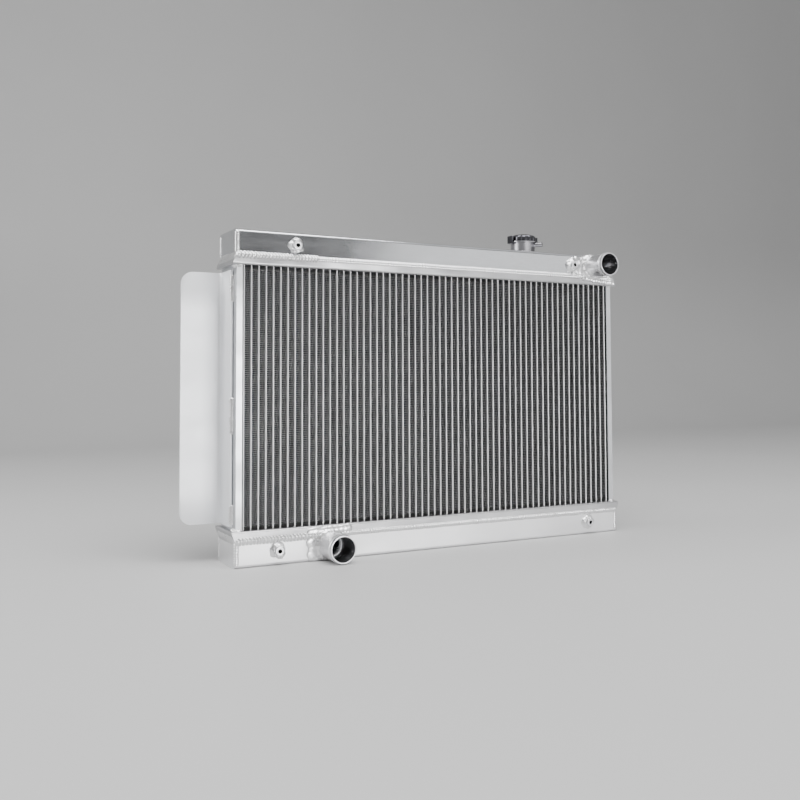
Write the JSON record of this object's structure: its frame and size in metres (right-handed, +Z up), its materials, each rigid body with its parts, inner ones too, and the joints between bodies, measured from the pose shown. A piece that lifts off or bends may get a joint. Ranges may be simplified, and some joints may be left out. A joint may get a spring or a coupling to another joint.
{
  "type": "car radiator",
  "caption": "All-aluminium down-flow radiator with folded tanks, tube-and-fin core, welded hose spigots, side bracket and pressure cap.",
  "frame": {"origin": "underside of the bottom tank, at the middle of its length and depth", "axes": "+X along the tanks, towards the upper hose spigot; -Y the engine side, where both hose spigots point; +Z up"},
  "size_m": [0.674, 0.1292, 0.4578],
  "materials": {
    "tank_sheet": "brushed and part polished",
    "header_sheet": "satin",
    "core_tube": "satin, braze bright",
    "core_fin": "dull, in shadow",
    "side_sheet": "satin mill finish",
    "bracket_sheet": "satin mill finish",
    "weld_metal": "as welded",
    "spigot_tube": "turned and brushed",
    "boss_metal": "turned",
    "neck_metal": "turned",
    "cap_chrome": "plated, dull with handling",
    "cap_steel": "plain steel",
    "cap_brass": "plain brass",
    "cap_rubber": "matt black",
    "plug_brass": "plain brass"
  },
  "bodies": {
    "radiator": {"bottom_tank": "tank_sheet", "top_tank": "tank_sheet", "bottom_end_cap_left": "tank_sheet", "bottom_end_cap_right": "tank_sheet", "top_end_cap_left": "tank_sheet", "top_end_cap_right": "tank_sheet", "bottom_header_plate": "header_sheet", "top_header_plate": "header_sheet", "core_tubes": "core_tube", "core_fins": "core_fin", "side_plate_left": "side_sheet", "side_plate_right": "side_sheet", "side_bracket": "bracket_sheet", "bracket_stitch_welds": "weld_metal", "bottom_seam_weld": "weld_metal", "top_seam_weld": "weld_metal", "lower_hose_spigot": "spigot_tube", "lower_spigot_weld": "weld_metal", "upper_hose_spigot": "spigot_tube", "upper_spigot_weld": "weld_metal", "upper_shroud_bosses": "boss_metal", "upper_boss_welds": "weld_metal", "lower_shroud_bosses": "boss_metal", "lower_boss_welds": "weld_metal", "filler_neck": "neck_metal", "overflow_nipple": "neck_metal", "neck_weld": "weld_metal", "drain_bung": "boss_metal", "drain_bung_weld": "weld_metal"},
    "drain_washer": {"drain_washer": "cap_rubber"},
    "drain_plug": {"drain_plug": "plug_brass"},
    "cap": {"cap_shell": "cap_chrome", "cap_rivet": "cap_steel", "cap_spring_disc": "cap_steel", "cap_top_gasket": "cap_rubber", "cap_bell": "cap_brass", "cap_spring": "cap_steel"},
    "pressure_valve": {"cap_pressure_valve": "cap_brass", "cap_valve_gasket": "cap_rubber", "cap_vacuum_spring": "cap_steel"},
    "vacuum_valve": {"cap_vacuum_valve": "cap_brass"}
  },
  "joints": [
    {"name": "cap_turn", "type": "hinge", "parent": "radiator", "child": "cap", "pos_m": [0.16, 0, 0.4285], "axis": [0, 0, 1], "range_deg": [0, 90]},
    {"name": "pressure_valve_lift", "type": "slide", "parent": "cap", "child": "pressure_valve", "axis": [0, 0, 1], "range_m": [0, 0.0025], "stiffness_N_per_m": 4000, "springref_m": -0.006, "deforming": ["cap_spring"]},
    {"name": "vacuum_valve_drop", "type": "slide", "parent": "pressure_valve", "child": "vacuum_valve", "axis": [0, 0, -1], "range_m": [0, 0.0015], "stiffness_N_per_m": 60, "springref_m": -0.002, "deforming": ["cap_vacuum_spring"]},
    {"name": "drain_washer_travel", "type": "slide", "parent": "radiator", "child": "drain_washer", "axis": [0, 1, 0], "range_m": [0, 0.012]},
    {"name": "drain_plug_turn", "type": "hinge", "parent": "drain_washer", "child": "drain_plug", "pos_m": [0.25, 0.046, 0.017], "axis": [0, 1, 0], "range_deg": [0, 2880]}
  ],
  "couplings": [
    {"joint": "drain_washer_travel", "follows": "drain_plug_turn", "m_per_rad": 0.00023873}
  ]
}
